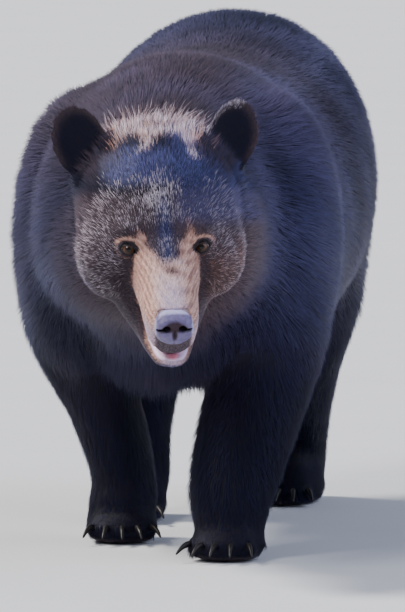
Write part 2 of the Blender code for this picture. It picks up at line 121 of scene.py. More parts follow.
def mouth_line(y):
    """How high the gap between the lips lies along the head, from the nose back."""
    along = [-0.133, -0.109, -0.078, -0.043, 0.0]
    return np.interp(y, along, [-0.110, -0.108, -0.1035, -0.0935, -0.085])


# ---------------- soft steps and mixtures


def eased(low, high, values):
    """0 below low, 1 above high, with a soft step between them."""
    t = np.clip((values - low) / (high - low), 0, 1)
    return t * t * (3 - 2 * t)


def faded(low, high, values):
    """1 below low, 0 above high."""
    return 1 - eased(low, high, values)


def hump(values, middle, width):
    """1 at the middle, falling away softly to both sides."""
    return np.exp(-(((values - middle) / width) ** 2))


def most(*values):
    """The greatest of several values at each point."""
    return np.maximum.reduce(values)


def leaning(value, *steps):
    """A value drawn towards each target in turn, by the share given with it."""
    for target, share in steps:
        value = value + (target - value) * share
    return value


def unit(vectors):
    return vectors / np.maximum(np.linalg.norm(vectors, axis=1, keepdims=True), 1e-9)


def mixed(a, b, share):
    return a + (b - a) * share[:, None]


# ---------------- regions of the body

PAWS = ("forepaw_left", "forepaw_right", "hindpaw_left", "hindpaw_right")
FORELEG_TOP, HINDLEG_TOP, LEG_TOP_APART, LEG_TOP_HEIGHT = -0.140, 0.470, 0.150, 0.42


class Regions:
    """How far each point belongs to the head, the ears, the legs and so on, from 0 to 1."""

    def __init__(self, points):
        self.points = points
        self.head_points = local(points, HEAD)
        x, y, _ = self.head_points.T
        height = points[:, 2]
        self.head = faded(0.100, 0.230, y) * eased(0.290, 0.330, height)
        self.muzzle = self.head * faded(-0.050, -0.010, y) * faded(0.055, 0.075, np.abs(x))
        self.find_ears()
        self.find_legs()
        self.find_eyes()
        self.paws = self.legs * faded(0.050, 0.110, height)
        self.soles = faded(0.004, 0.011, height)
        self.belly = faded(0.24, 0.45, height)
        self.neck = faded(-0.30, -0.15, points[:, 1]) * eased(0.30, 0.36, height)
        between = faded(0.070, 0.120, np.abs(points[:, 0])) * eased(-0.46, -0.38, points[:, 1])
        self.chest = between * faded(-0.14, -0.04, points[:, 1]) * faded(0.33, 0.38, height)
        low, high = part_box("tail")
        inside = (points[:, 1] > low.y + 0.03) & (height > low.z - 0.02) & (height < high.z)
        self.tail = inside * faded(0.030, 0.045, np.abs(points[:, 0]))

    def find_ears(self):
        count = len(self.points)
        self.ears, self.ear_points = np.zeros(count), np.zeros((count, 3))
        self.ear_side, self.ear_foot, self.ear_root = np.zeros((3, count))
        for side in (LEFT, RIGHT):
            ear = local(self.points, EARS[side])
            across, deep, up = ear.T
            inner = -across * side
            # where the ear leaves the head, which rises towards the middle
            steps = [-0.035, -0.010, 0.014, 0.036, 0.060]
            foot = np.interp(inner, steps, [0.004, 0.025, 0.038, 0.048, 0.054])
            share = eased(foot, foot + 0.012, up) * faded(0.036, 0.048, np.abs(deep))
            share *= faded(1.08, 1.22, np.hypot(across / 0.052, (up - 0.058) / 0.072))
            more = share > self.ears
            self.ear_points = np.where(more[:, None], ear * (side, 1, 1), self.ear_points)
            self.ear_side = np.where(more, side, self.ear_side)
            self.ears = np.maximum(self.ears, share)
            before = faded(0.70, 1.15, np.hypot((inner - 0.026) / 0.040, (up - 0.030) / 0.034))
            before *= faded(0.02, 0.06, np.abs(deep))
            self.ear_foot = np.maximum(self.ear_foot, before)
            root = np.hypot(inner - 0.055, up - 0.060) + 0.5 * np.abs(deep) < 0.030
            self.ear_root = np.maximum(self.ear_root, root)

    def find_legs(self):
        height = self.points[:, 2]
        self.legs, self.toes = np.zeros((2, len(self.points)))
        for name in PAWS:
            paw = middle_of(name)
            fore = name.startswith("fore")
            apart = LEG_TOP_APART if "left" in name else -LEG_TOP_APART
            top = Vector((apart, FORELEG_TOP if fore else HINDLEG_TOP, LEG_TOP_HEIGHT))
            foot = Vector((paw.x, paw.y + (0.02 if fore else 0.05), 0.03))
            t = np.clip((height - foot.z) / (top.z - foot.z), 0, 1)[:, None]
            axis = np.array(foot)[:2] * (1 - t) + np.array(top)[:2] * t
            off_axis = np.linalg.norm(self.points[:, :2] - axis, axis=1)
            near = faded(0.100, 0.150, off_axis - 0.03 * t[:, 0])
            self.legs = np.maximum(self.legs, near * faded(0.27, 0.40, height))
            forward = faded(-0.045, 0.010, self.points[:, 1] - paw.y)
            self.toes = np.maximum(self.toes, near * forward * faded(0.050, 0.085, height))

    def find_eyes(self):
        count = len(self.points)
        self.lids = faded(0.015, 0.030, eye_gap(self.points))
        self.eye_ring, self.eye_up = np.full(count, 9.0), np.zeros(count)
        for side in (LEFT, RIGHT):
            across, depth, up = local(self.points, EYE_PLACES[side]).T
            # the dark corner runs on towards the nose
            inner = np.where(across * side < 0, 0.0195, 0.0150)
            ring = np.hypot(across / inner, (up - 0.0022) / 0.0112) + 9 * (np.abs(depth) > 0.03)
            self.eye_up = np.where(ring < self.eye_ring, up, self.eye_up)
            self.eye_ring = np.minimum(self.eye_ring, ring)


def coat_depth(r):
    """How far the coat's outline stands off the skin."""
    x, y, z = r.head_points.T
    off_axis = np.hypot(x, 0.5 * (z + 0.03))
    cheeks = 0.0022 + 0.0050 * eased(0.060, 0.115, off_axis) * eased(-0.01, 0.07, y)
    crown = 0.0022 + 0.0048 * eased(0.02, 0.15, y)
    depth = leaning(
        0.010 + 0.004 * r.belly,
        (0.014, r.neck),
        (0.007, r.legs),
        (0.003, r.paws),
        (np.maximum(cheeks, crown), r.head),
        (0.0015, r.muzzle),
        (0.0012, r.lids),
        (0.0016, r.ears),
        (0.006, r.tail),
    )
    return depth * (1 - r.soles)


def coat_length(r):
    x, y, z = r.head_points.T
    off_axis = np.hypot(x, 0.5 * (z + 0.03))
    cheeks = 0.0065 + 0.016 * eased(0.070, 0.125, off_axis) * eased(0.0, 0.10, y)
    crown = 0.0065 + 0.016 * eased(0.03, 0.15, y)
    return leaning(
        0.040 + 0.014 * r.belly,
        (0.048, r.neck),
        (0.027, r.legs),
        (0.012, r.paws),
        (np.maximum(cheeks, crown), r.head),
        (0.0050, r.muzzle),
        (0.0036, r.lids),
        (0.0068, r.ears),
        (0.034, r.tail),
        (0.062, r.chest * (1 - r.legs)),
    )


# ---------------- mesh tools


def chosen(obj):
    """Only this object is selected and active."""
    bpy.ops.object.select_all(action="DESELECT")
    obj.select_set(True)
    bpy.context.view_layer.objects.active = obj
    return obj


def shaped(obj, kind, **values):
    """Adds a modifier with these values and applies it."""
    chosen(obj)
    modifier = obj.modifiers.new(kind.lower(), kind)
    for name, value in values.items():
        setattr(modifier, name, value)
    bpy.ops.object.modifier_apply(modifier=modifier.name)
    return obj


def even(obj, cell, rounds):
    """Gives an object one even mesh with cells of this size, and smooths it."""
    shaped(obj, "REMESH", mode="VOXEL", voxel_size=cell, use_smooth_shade=True)
    return shaped(obj, "SMOOTH", iterations=rounds, factor=0.5)


def read(items, name, width=3, kind=np.float32):
    """One value of every item, as the rows of an array."""
    values = np.empty(width * len(items), kind)
    items.foreach_get(name, values)
    return values.reshape(-1, width)


def write(items, name, values, kind=np.float32):
    items.foreach_set(name, values.astype(kind).ravel())


def points_of(mesh):
    return read(mesh.vertices, "co").astype(float)


def normals_of(mesh):
    return read(mesh.vertices, "normal").astype(float)


def move_points(mesh, points):
    write(mesh.vertices, "co", points)
    mesh.update()


def set_attribute(mesh, name, values):
    write(mesh.attributes.new(name, "FLOAT", "POINT").data, "value", values)


def edited(obj, work, wanted=None):
    """Does work in edit mode, on the whole mesh or on the faces whose middles pass the test."""
    chosen(obj)
    bpy.ops.object.mode_set(mode="EDIT")
    bpy.ops.mesh.select_all(action="DESELECT" if wanted else "SELECT")
    if wanted:
        bpy.ops.object.mode_set(mode="OBJECT")
        faces = obj.data.polygons
        faces.foreach_set("select", wanted(read(faces, "center").astype(float)))
        bpy.ops.object.mode_set(mode="EDIT")
    work()
    bpy.ops.object.mode_set(mode="OBJECT")


def smooth_where(obj, wanted, rounds, split=False):
    """Smooths the wanted faces, and may split each in four first."""

    def work():
        if split:
            bpy.ops.mesh.subdivide(number_cuts=1)
        bpy.ops.mesh.vertices_smooth(factor=0.5, repeat=rounds)

    edited(obj, work, wanted)


def linked(name, data):
    """A new object in the scene."""
    obj = bpy.data.objects.new(name, data)
    bpy.context.scene.collection.objects.link(obj)
    return obj


def copied(node, grow=0.0):
    """A copy of a CAD node's mesh as a new object, merged to one skin."""
    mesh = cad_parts[node].data.copy()
    mesh.materials.clear()
    obj = linked(f"copy_{node}", mesh)
    edited(obj, lambda: bpy.ops.mesh.remove_doubles(threshold=1e-6))
    return shaped(obj, "DISPLACE", strength=grow, mid_level=0) if grow else obj


def joined(objects, name):
    bpy.ops.object.select_all(action="DESELECT")
    for obj in objects:
        obj.select_set(True)
    bpy.context.view_layer.objects.active = objects[0]
    bpy.ops.object.join()
    objects[0].name = objects[0].data.name = name
    return objects[0]


def primitive(name, add, **values):
    """A new mesh primitive."""
    bpy.ops.object.select_all(action="DESELECT")
    add(**values)
    made = bpy.context.object
    made.name = made.data.name = name
    return made


GROWTH = 0.001  # the copies are grown by this, so that the cuts between them close


def fused(names, name, cell):
    """CAD nodes grown together into one even skin."""
    return even(joined([copied(node, GROWTH) for node in names], name), cell, 4)


# ---------------- skin

FLESH = [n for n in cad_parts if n.split("_")[0] not in ("claw", "eye", "nose", "tongue")]
BODY_CELL, HEAD_CELL = 0.0108, 0.0039
SEAM = 0.170  # where the finer skin of the head meets the rest, on a plane behind the ears
SEAM_TILT = 0.5
LID_BALL = 0.0095  # the lids follow a ball up to here and slope away beyond
LID_SLOPE = 0.62


def behind_ears(points):
    """How far back points lie, measured on the tilted seam."""
    _, y, z = local(points, HEAD).T
    return y - SEAM_TILT * z


def cut_at(skin, distance, keep):
    """Cuts and closes a skin on the seam's plane. What lies in front (-1) or behind (1) stays."""
    plane = {
        "plane_co": HEAD @ Vector((0, distance, 0)),
        "plane_no": HEAD.to_3x3() @ Vector((0, 1, -SEAM_TILT)),
    }
    sides = {"clear_inner": keep > 0, "clear_outer": keep < 0}
    edited(skin, lambda: bpy.ops.mesh.bisect(use_fill=True, **plane, **sides))


def sunk(skin):
    """Moves the skin in from the coat's outline."""
    points = points_of(skin.data)
    points -= normals_of(skin.data) * (GROWTH + coat_depth(Regions(points)))[:, None]
    move_points(skin.data, points)
    return shaped(skin, "SMOOTH", iterations=2, factor=0.5)


def tuck(skin, start, end, depth):
    """Lowers the rim of a cut skin, so that it dives under its neighbour."""
    points = points_of(skin.data)
    share = np.clip((behind_ears(points) - start) / (end - start), 0, 1)
    move_points(skin.data, points - normals_of(skin.data) * (depth * share)[:, None])


def body_skin():
    names = [n for n in FLESH if not n.startswith(("ear", "lower"))]
    skin = sunk(fused(names, "body_skin", BODY_CELL))
    tuck(skin, SEAM, SEAM - 0.025, 0.005)
    cut_at(skin, SEAM - 0.015, 1)
    return skin


def opening_edge(across):
    """Upper and lower edge of the eye's opening at a distance across it."""
    arch = np.clip(1 - (across / OPENING_HALF_LENGTH) ** 2, 0, 1)
    return UPPER_ARCH * arch**0.8, -LOWER_ARCH * arch


def ball_depth(radius, reach):
    """The depth of a ball's front at a distance from its axis."""
    return -np.sqrt(np.clip(radius**2 - reach**2, 0, None))


def fold_lids(skin, side):
    """Draws the skin over the eyeball, opens it in an almond, and folds the lids."""
    place = EYE_PLACES[side]
    points = points_of(skin.data)
    eye = local(points, place)
    across, depth, up = eye.T
    reach = np.hypot(across, up)
    near = (reach < 0.034) & (depth > -0.03) & (depth < 0.02)
    upper, lower = opening_edge(across)
    inside = near & (up < upper) & (up > lower) & (np.abs(across) < OPENING_HALF_LENGTH)
    lid = ball_depth(LID_RADIUS, np.minimum(reach, LID_BALL))
    lid += LID_SLOPE * np.clip(reach - LID_BALL, 0, None)
    depth = np.where(near & ~inside, np.minimum(depth, lid), depth)
    depth = np.where(inside, ball_depth(EYE_RADIUS - 0.002, reach), depth)
    outer = np.clip(1 - (across / 0.018) ** 2, 0, 1)
    crease = hump(up - upper - 0.0042 * outer, 0, 0.0011) * outer
    roll = hump(up - upper - 0.0080 * outer, 0, 0.0030) * outer
    pouch = hump(up - lower + 0.0055 * outer, 0, 0.0012) * outer
    depth = depth + near * ~inside * (0.0011 * crease - 0.0016 * roll + 0.0006 * pouch)
    eye[:, 1] = depth
    move_points(skin.data, np.where(near[:, None], placed(eye, place), points))


def shaped_lips(skin):
    """Draws the lower jaw in to a round chin, and lets the upper lip hang a little."""
    points = points_of(skin.data)
    x, y, z = local(points, HEAD).T
    jaw = local(points, JAW)
    along = [-0.138, -0.130, -0.112, -0.080, -0.050]
    jaw[:, 0] *= np.interp(jaw[:, 1], along, [0.50, 0.68, 0.86, 0.97, 1.0])
    lower = (y < -0.040) & (z < mouth_line(y)) & (np.abs(x) < 0.08)
    points = np.where(lower[:, None], placed(jaw, JAW), points)
    hang = ~lower * faded(-0.118, -0.085, y) * faded(-0.095, -0.080, z)
    drop = outward(np.array([[0.0, 0.0, 0.0055]]), HEAD)
    move_points(skin.data, points - hang[:, None] * drop)


def bedded_nose(skin):
    """Lowers the skin under the nose pad, so that the nostrils have room."""
    points = points_of(skin.data)
    x, y, z = local(points, HEAD).T
    under = faded(0.021, 0.027, np.abs(x)) * faded(0.016, 0.023, np.abs(z + 0.052))
    under *= faded(-0.140, -0.125, y)
    back = outward(np.array([[0.0, 0.020, 0.0]]), HEAD)
    move_points(skin.data, points + under[:, None] * back)


def head_skin():
    names = ["head", "lower_jaw", "neck", "ear_left", "ear_right", "nose"]
    skin = sunk(fused(names, "head_skin", HEAD_CELL))
    cut_at(skin, SEAM + 0.030, -1)

    def face(middles):
        x, y, z = local(middles, HEAD).T
        return (y < 0.015) & (np.abs(x) < 0.074) & (z < 0.030)

    def nose_root(middles):
        _, y, z = local(middles, HEAD).T
        return (y < -0.095) & (z > -0.088)

    def ear_roots(middles):
        return Regions(middles).ear_root > 0.5

    def ears(middles):
        return Regions(middles).ears > 0.5

    shaped_lips(skin)
    smooth_where(skin, nose_root, 6)
    smooth_where(skin, ear_roots, 40)
    smooth_where(skin, ears, 8)
    smooth_where(skin, face, 3, split=True)
    smooth_where(skin, ears, 8, split=True)
    smooth_where(skin, lambda middles: eye_gap(middles) < 0.0175, 120)
    smooth_where(skin, lambda middles: eye_gap(middles) < 0.026, 3, split=True)
    for side in (LEFT, RIGHT):
        fold_lids(skin, side)
    bedded_nose(skin)
    tuck(skin, SEAM, SEAM + 0.025, 0.008)
    return skin


def whole_skin():
    body, head = body_skin(), head_skin()
    shaped(body, "BOOLEAN", operation="UNION", object=head, solver="EXACT")
    bpy.data.objects.remove(head)
    shaped(body, "TRIANGULATE")
    body.name = body.data.name = "skin"
    body.data.shade_smooth()
    return body


# ---------------- eyes, nose, tongue and claws

IRIS_RADIUS, PUPIL_RADIUS = 0.0092, 0.0031
CORNEA_BULGE, CORNEA_RADIUS = 0.0009, 0.0075
RIM_THICKNESS = 0.25  # of the ring before it is bent to the eye
CLAW_GROWTH = 0.0014
NOSE_CELL, TONGUE_CELL = 0.0009, 0.0015


def bent(obj, points):
    """Moves the points of a primitive to their places."""
    move_points(obj.data, points)
    obj.data.shade_smooth()
    return obj


def eyeball(side):
    """The ball with its bulging cornea. Its map holds the place across the iris."""
    name = f"eyeball_{SIDE_NAMES[side]}"
    add, sizes = bpy.ops.mesh.primitive_uv_sphere_add, {"segments": 48, "ring_count": 32}
    ball = primitive(name, add, radius=EYE_RADIUS, rotation=(math.pi / 2, 0, 0), **sizes)
    bpy.ops.object.transform_apply(location=True, rotation=True, scale=True)
    flat = points_of(ball.data)
    front = flat[:, 1] < 0
    layer = ball.data.uv_layers.new(name="Iris")
    loops = read(ball.data.loops, "vertex_index", 1, np.int32)[:, 0]
    # the back of the ball is put far outside the iris
    across = flat[:, [0, 2]] / EYE_RADIUS * np.where(front, 1.0, 3.0)[:, None]
    write(layer.data, "uv", across[loops])
    for other in [l for l in ball.data.uv_layers if l.name != "Iris"]:
        ball.data.uv_layers.remove(other)
    bulge = CORNEA_BULGE * hump(np.hypot(flat[:, 0], flat[:, 2]), 0, CORNEA_RADIUS) * front
    shape = flat * (1 + bulge / EYE_RADIUS)[:, None]
    gaze = Matrix.Translation(EYES[side]) @ turned("Z", VIEW_ROUND + 1.5 * side) @ turned("X", -1)
    bent(ball, placed(shape, gaze))
    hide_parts(f"eye_{SIDE_NAMES[side]}")
    return ball


def lid_rim(side):
    """The bare dark edge of both lids: a thin roll along the eye's opening."""
    name = f"lid_rim_{SIDE_NAMES[side]}"
    add, sizes = bpy.ops.mesh.primitive_torus_add, {"major_segments": 72, "minor_segments": 10}
    rim = primitive(name, add, major_radius=1, minor_radius=RIM_THICKNESS, **sizes)
    points = points_of(rim.data)
    angle = np.arctan2(points[:, 1], points[:, 0])
    outward_part = (np.hypot(points[:, 0], points[:, 1]) - 1) / RIM_THICKNESS
    height_part = points[:, 2] / RIM_THICKNESS
    across = OPENING_HALF_LENGTH * np.cos(angle)
    upper, lower = opening_edge(across * 0.999)
    up = np.where(np.sin(angle) >= 0, upper, lower)
    thick = np.where(np.sin(angle) >= 0, 0.00125, 0.0010)
    thick = thick * (0.75 + 0.25 * np.abs(np.sin(angle)))
    middle = np.stack([across, np.zeros_like(up), up], 1)
    away = unit(np.stack([np.cos(angle) / 1.5, np.zeros_like(up), np.sin(angle)], 1))
    spot = middle + away * (outward_part * thick)[:, None]
    reach = np.hypot(spot[:, 0], spot[:, 2])
    spot[:, 1] = ball_depth(EYE_RADIUS + 0.0006, reach) - height_part * thick * 0.9
    return bent(rim, placed(spot, EYE_PLACES[side]))


def nose_pad():
    """The bare pad with its nostrils, side slits and the groove between them."""
    pad = copied("nose")
    pad.name = pad.data.name = "nose_pad"
    even(pad, NOSE_CELL, 5)
    own = local(points_of(pad.data), HEAD)
    x, y, z = own.T
    wide = np.abs(x)
    front = faded(-0.152, -0.140, y)
    hole = faded(0.45, 1.05, np.hypot((wide - 0.0122) / 0.0068, (z + 0.0480) / 0.0062))
    slit_height = z + 0.0515 + 0.25 * (wide - 0.02)
    slit = faded(0.35, 1.0, np.hypot((wide - 0.0200) / 0.0090, slit_height / 0.0036))
    groove = hump(x, 0, 0.0012) * faded(-0.052, -0.046, z)
    wings = np.exp(-(((wide - 0.0185) / 0.0060) ** 2 + ((z + 0.0425) / 0.005) ** 2))
    top = hump(z, -0.034, 0.0040) * faded(-0.150, -0.135, y)
    below = eased(0.004, 0.018, wide) * faded(-0.068, -0.058, z)
    band = faded(0.50, 1.0, np.hypot(x / 0.0280, (z + 0.0445 + 12 * x**2) / 0.0108))
    septum = faded(0.40, 1.0, np.hypot(x / 0.0060, (z + 0.055) / 0.016))
    dents = 0.0035 * hole + 0.0025 * slit + 0.0020 * groove + 0.0030 * below
    own[:, 1] += front * (dents - 0.0016 * wings)
    own[:, 2] += 0.0012 * top
    # the bare colours: a pale rim behind and at the sides, a dark band round the nostrils, and
    # painted shade in the nostrils and side slits
    x, y, z = own.T
    rim = eased(-0.0365, -0.0315, z) * eased(-0.149, -0.141, y) + 0.8 * eased(0.0245, 0.0275, wide)
    marks = {
        "rim": rim,
        "flush": 0.92 * front * np.maximum(band, septum),
        "nostril_shade": np.maximum(hole, 0.85 * slit) * front,
    }
    move_points(pad.data, placed(own, HEAD))
    for name, values in marks.items():
        set_attribute(pad.data, name, np.clip(values, 0, 1))
    pad.data.shade_smooth()
    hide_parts("nose")
    return pad


def tongue_piece():
    tongue = copied("tongue")
    tongue.name = tongue.data.name = "tongue_flesh"
    even(tongue, TONGUE_CELL, 6)
    points = points_of(tongue.data)
    x, _, z = local(points, JAW).T
    groove = 0.0022 * hump(x, 0, 0.003) * eased(-0.090, -0.086, z)
    move_points(tongue.data, points - normals_of(tongue.data) * groove[:, None])
    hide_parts("tongue")
    return tongue


def claws():
    names = [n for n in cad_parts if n.startswith("claw_")]
    piece = joined([copied(name, CLAW_GROWTH) for name in names], "claws")
    shaped(piece, "SUBSURF", levels=2, render_levels=2)
    piece.data.shade_smooth()
    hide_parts(*names)
    return piece


# ---------------- markings


def near_spot(points, spot, radius):
    """1 at a spot, 0 beyond its radius."""
    return faded(0.35 * radius, radius, np.linalg.norm(points - spot, axis=1))


def waves(points, size, seed, count=5):
    """A smooth pattern between about -1 and 1, with waves about this long."""
    rng = np.random.default_rng(seed)
    total = np.zeros(len(points))
    for _ in range(count):
        heading = rng.normal(size=3)
        heading *= 2 * math.pi / (size * rng.uniform(0.7, 1.5)) / np.linalg.norm(heading)
        total += np.sin(points @ heading + rng.uniform(0, 2 * math.pi))
    return total / math.sqrt(count / 2) / 1.6


class Face:
    """Lines, sides and patterns that several markings share."""

    def __init__(self, r):
        x, y, z = r.head_points.T
        self.wide = np.abs(x)
        self.climb = 0.84 * z + 0.54 * y  # how high up the face, as it is held
        self.right = eased(-0.02, 0.02, -x)
        # the bear's right side, from which the sun falls: the marks that differ between the sides
        # by it are painted light
        self.patchy, self.broad = waves(r.points, 0.030, 3), waves(r.points, 0.16, 5)
        self.over = eased(-0.0015, 0.0015, z - mouth_line(y))  # above the mouth's gap
        self.jaw = local(r.points, JAW)
        along = self.jaw[:, 1]
        lip_top = np.interp(
            along, [-0.136, -0.112, -0.080, -0.045], [-0.099, -0.096, -0.094, -0.084]
        )
        self.lip_drop = lip_top - self.jaw[:, 2]  # how far below the lower lip's top
        self.jaw_half_width = np.interp(
            along,
            [-0.134, -0.126, -0.112, -0.080, -0.045],
            [0.012, 0.021, 0.030, 0.037, 0.043],
        )
        lip_edge = np.interp(
            y,
            [-0.145, -0.138, -0.118, -0.085, -0.050],
            [-0.094, -0.101, -0.104, -0.100, -0.094],
        )
        self.lip_rise = z - lip_edge  # how far above the upper lip's edge


def bare_skin(r, f):
    """Lips, mouth and lids, and the dark skin round the nose and under the feet."""
    _, y, z = r.head_points.T
    front = faded(-0.072, -0.050, y)
    lip_depth = 0.0034 + 0.0036 * eased(0.008, 0.024, f.wide)
    lower_lip = (1 - f.over) * front * faded(lip_depth, lip_depth + 0.0026, f.lip_drop)
    gum = lower_lip * faded(-0.076, -0.058, y)
    mouth = (1 - f.over) * eased(0.002, 0.005, f.jaw_half_width - f.wide)
    mouth = mouth * faded(0.001, 0.004, f.lip_drop)
    mouth *= faded(-0.075, -0.060, y)
    upper_lip = f.over * front * faded(0.003, 0.008, f.lip_rise)
    under_nose = f.over * faded(-0.124, -0.112, y) * faded(0.022, 0.032, f.wide)
    under_nose = under_nose * faded(-0.074, -0.062, z)
    corners = (lower_lip - gum) * (1 - mouth)
    under_pad = faded(-0.135, -0.128, y) * faded(0.024, 0.027, f.wide) * eased(-0.080, -0.074, z)
    dark = most(upper_lip, under_nose, under_pad, corners)
    return {
        "gum": gum * r.head * (1 - mouth),
        "dark_skin": np.clip(dark * r.head + r.soles, 0, 1),
        "lids": faded(0.82, 1.00, r.eye_ring),
        "mouth": mouth * r.head,
    }


def pale_flecks(r, f, muzzle, backlight_between_ears, stripe):
    """Hairs with pale tips on the bridge, forehead and cheeks: partly real grizzle and partly
    painted sun glints, which make more of them on the right side, where the sun falls.
    """
    _, y, z = r.head_points.T
    bridge = 0.58 * muzzle * faded(0.012, 0.034, f.wide) * f.over
    cheek = (0.24 + 0.08 * f.right) * eased(0.048, 0.075, f.wide) * faded(0.055, 0.110, y)
    low, high = -0.150 + 0.030 * f.right, -0.110 + 0.045 * f.right
    cheek *= faded(0.126, 0.140, f.wide) * eased(low, high, z)
    brows = (0.12 + 0.26 * f.right) * eased(0.010, 0.040, f.climb) * faded(0.080, 0.098, f.climb)
    brows *= faded(0.035, 0.075, y) * faded(0.105, 0.132, f.wide)
    # a pale patch on the forehead, off towards the sunlit right: partly real grizzle and partly
    # painted sun glints
    outer = near_spot(r.head_points, (-0.010, 0.032, 0.066), 0.058)
    inner = near_spot(r.head_points, (-0.008, 0.026, 0.062), 0.034)
    crest = np.maximum((0.46 + 0.18 * f.patchy) * outer, (0.88 + 0.15 * f.patchy) * inner)
    grizzle_and_glints = most(bridge, cheek, brows, crest, 0.05 * r.head)
    grizzle_and_glints = grizzle_and_glints * (1 - 0.45 * stripe) + 0.20 * stripe
    grizzle_and_glints = np.clip(grizzle_and_glints + 0.10 * f.patchy * (grizzle_and_glints > 0.08), 0, 1)
    grizzle_and_glints = grizzle_and_glints * r.head * (1 - r.ears)
    return np.maximum(grizzle_and_glints, (0.42 + 0.20 * f.patchy) * backlight_between_ears)


def markings(r):
    """The coat's colours and the bare skin's, each from 0 to 1, at every point."""
    x, y, z = r.head_points.T
    f = Face(r)
    off_head, height = 1 - r.head, r.points[:, 2]

    # tan muzzle and brows
    start = -0.058 + 0.046 * eased(0.004, 0.034, f.wide) + 0.012 * f.patchy
    muzzle = faded(start - 0.028, start + 0.024, y) * faded(0.040, 0.062, f.wide + 0.005 * f.patchy)
    muzzle *= 1 - 0.5 * f.over * faded(0.006, 0.022, f.lip_rise)
    brow = 0.85 * near_spot(np.stack([f.wide, y, z], 1), (0.036, -0.006, 0.012), 0.015)
    # a pale tan ring round each eye, stronger over the upper lid: partly its own tan and partly a
    # painted highlight on the upper lid's fold
    ring = 0.78 * hump(r.eye_ring, 1.30, 0.27) * (0.45 + 0.55 * eased(0.0, 0.010, r.eye_up))
    tan_parts = np.clip(most(muzzle, brow, ring), 0, 1)
    throat = eased(-0.075, -0.020, f.jaw[:, 1]) * (1 - f.over)
    throat = throat + eased(0.005, 0.016, f.lip_drop) * (1 - f.over)
    tan = tan_parts * r.head * (1 - 0.85 * np.clip(throat, 0, 1))

    # painted backlight between the ears: a pale patch that reaches forward in two tongues
    reach = 0.030 * hump(x, -0.018, 0.013) + 0.034 * hump(x, 0.046, 0.015)
    backlight_between_ears = eased(0.112, 0.158, y + reach + 0.016 * f.patchy) * faded(0.19, 0.29, y)
    backlight_between_ears = backlight_between_ears * eased(0.03, 0.07, z) * faded(0.060, 0.105, f.wide)
    backlight_between_ears *= faded(0.02, 0.30, r.ears)
    stripe = hump(x, 0, 0.012) * eased(-0.064, -0.040, y) * faded(0.02, 0.05, y)
    grizzle_and_glints = pale_flecks(r, f, muzzle, backlight_between_ears, stripe)
    # painted light: tan on the bear's left cheek only, the side away from the sun
    left_cheek = (1 - f.right) * eased(0.048, 0.070, f.wide) * faded(0.04, 0.09, y)
    left_cheek = left_cheek * faded(-0.03, 0.01, z)
    tan = most(tan, 0.52 * backlight_between_ears, 0.33 * left_cheek * r.head)

    # the ears' rims: brown, and pale where the left one is lit
    ear_x, _, ear_z = r.ear_points.T
    rim = eased(0.60, 0.98, np.hypot(ear_x / 0.049, (ear_z - 0.062) / 0.066))
    rim *= r.ears * eased(0.030, 0.055, ear_z)
    # a dark brown patch before each ear's foot, partly the ear's own dark base and partly painted
    # shade of the ear; it takes away the painted sky sheen and glints
    ear_foot = r.ear_foot * (1 - r.ears)
    lit_rim = rim * (r.ear_side == LEFT) * eased(-0.020, 0.010, -ear_x)
    grizzle_and_glints = np.maximum(grizzle_and_glints * (1 - ear_foot), 0.75 * lit_rim)

    # brown in the black: partly the coat's own brown and partly a painted sunlit highlight on the
    # shoulders, with painted backlight between the ears; it fades out downwards, painted shade
    # under the body
    shoulders = faded(0.05, 0.35, r.points[:, 1]) * eased(0.50, 0.72, height)
    brown_and_sunlit = np.clip(0.12 + 0.36 * shoulders + 0.12 * f.broad + 0.35 * backlight_between_ears, 0, 1)
    brown_and_sunlit = brown_and_sunlit * eased(0.15, 0.45, height) * off_head
    # the face's own brown; that there is less of it on the bear's right, the sunlit side, is
    # painted light
    face = (0.95 - 0.30 * f.right) * r.head * faded(0.060, 0.090, f.climb) * (1 - stripe)
    brown_and_sunlit = np.maximum(brown_and_sunlit, face) * (1 - r.ears) + 0.9 * rim
    brown_and_sunlit = np.maximum(brown_and_sunlit, 0.30 * ear_foot)

    # along the muzzle: deep tan at the sides, in streaks
    streaks = waves(r.head_points * (1.0, 0.40, 0.9), 0.0052, 9)
    # painted shade on the upper lip's sides: deeper tan and blue-grey
    lip_side_shade = f.over * faded(-0.105, -0.080, y) * faded(-0.072, -0.048, z)
    chin = (1 - f.over) * eased(0.003, 0.007, f.lip_drop)
    deep = 0.12 + 0.30 * eased(0.018, 0.040, f.wide) * muzzle
    deep = np.clip(deep + 1.15 * streaks + 0.8 * chin + 0.35 * lip_side_shade, 0, 1)
    brown_and_sunlit += (deep - brown_and_sunlit) * tan_parts * r.head

    # painted sky sheen: the sky's blue-grey light on the black, most on the bear's left front, away
    # from the sun, less where the shoulders carry painted sunlit highlight
    sky_lit_left_front = eased(0.04, 0.14, r.points[:, 0]) * faded(-0.10, 0.25, r.points[:, 1])
    sky_sheen = np.clip(0.25 + 0.15 * f.broad - 0.20 * shoulders + 0.32 * sky_lit_left_front, 0, 1)
    # the sky sheen fades out downwards: painted shade under the body
    sky_sheen = sky_sheen * eased(0.20, 0.50, height) * off_head
    # a painted shadow of the ears across the upper forehead, lit blue by the sky
    band = eased(0.080, 0.098, f.climb) * faded(0.125, 0.150, f.climb)
    band = band * faded(0.068, 0.092, f.wide) * r.head
    # painted sky light on the bear's left brow and on the stripe
    sky_lit_left_brow = 0.80 * r.head * eased(0.0, 0.03, x) * eased(0.015, 0.045, f.climb)
    sky_sheen = most(sky_sheen, band, 0.85 * stripe * r.head, sky_lit_left_brow) * (1 - r.ears)
